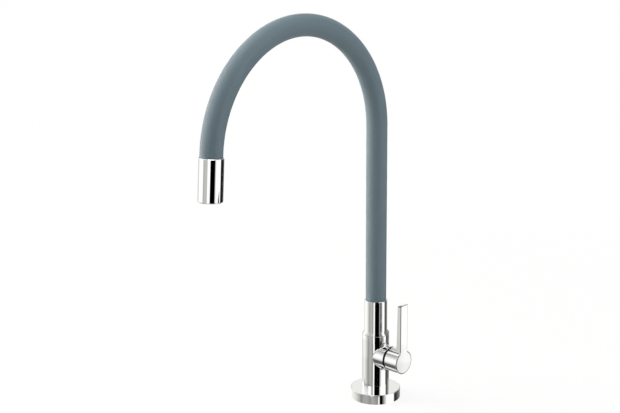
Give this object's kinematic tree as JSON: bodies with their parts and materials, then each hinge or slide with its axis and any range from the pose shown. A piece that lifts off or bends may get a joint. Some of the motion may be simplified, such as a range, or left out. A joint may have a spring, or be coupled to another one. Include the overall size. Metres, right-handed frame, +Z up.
{
  "type": "kitchen tap",
  "caption": "Deck-mounted kitchen tap: upright chrome body with a side lever valve, and a swivelling swan-neck spout in a silicone sleeve, with a chrome nozzle.",
  "frame": {"origin": "centre of the flange's underside, on the deck", "axes": "+Z up along the body and the swivel's axis; the valve and its lever lie towards +X; the spout reaches towards -Y at rest"},
  "size_m": [0.0622, 0.2528, 0.4482],
  "materials": {
    "chromed_brass": "polished chrome plate on brass",
    "raw_brass": "machined brass",
    "stainless_steel": "satin stainless steel",
    "silicone": "matt blue-grey silicone",
    "black_rubber": "moulded EPDM",
    "black_plastic": "matt acetal",
    "white_plastic": "moulded acetal and polyethylene",
    "alumina": "lapped alumina"
  },
  "bodies": {
    "base": {"base_flange": "chromed_brass", "base_gasket": "black_rubber", "valve_body": "chromed_brass", "glide_ring": "black_plastic", "mounting_shank": "raw_brass", "deck_seal": "black_rubber", "clamp_washer": "stainless_steel", "mounting_nut": "raw_brass", "inlet_strainer": "stainless_steel", "cartridge_housing": "raw_brass", "cartridge_seal": "black_rubber", "seat_seal": "black_rubber", "fixed_disc": "alumina", "swivel_screw": "stainless_steel"},
    "lever": {"moving_disc": "alumina", "spindle": "raw_brass", "spindle_seal": "black_rubber", "spindle_clip": "stainless_steel", "lever_handle": "chromed_brass", "spline_bush": "white_plastic", "handle_screw": "stainless_steel", "screw_plug": "black_plastic"},
    "spout": {"swivel_spigot": "raw_brass", "swivel_orings": "black_rubber", "swivel_bearing": "white_plastic", "spout_collar": "chromed_brass", "hose_ferrule": "stainless_steel", "silicone_sleeve": "silicone", "gooseneck_tube": "stainless_steel", "water_tube": "white_plastic"},
    "spout_tip": {"tip_ferrule": "stainless_steel", "nozzle_shell": "chromed_brass", "nozzle_fitting": "raw_brass", "nozzle_seal": "black_rubber", "aerator_gasket": "black_rubber", "aerator_housing": "white_plastic", "flow_regulator": "white_plastic", "aerator_insert": "white_plastic", "aerator_screen": "stainless_steel"}
  },
  "joints": [
    {"name": "lever_turn", "type": "hinge", "parent": "base", "child": "lever", "pos_m": [0, 0, 0.04525], "axis": [1, 0, 0], "range_deg": [0, 90]},
    {"name": "spout_swivel", "type": "hinge", "parent": "base", "child": "spout", "pos_m": [0, 0, 0.0615], "axis": [0, 0, 1], "continuous": true},
    {"name": "spout_bend", "type": "hinge", "parent": "spout", "child": "spout_tip", "pos_m": [0, -0.10457, 0.34858], "axis": [1, 0, 0], "range_deg": [-25, 25], "deforming": ["silicone_sleeve", "gooseneck_tube", "water_tube"]}
  ]
}
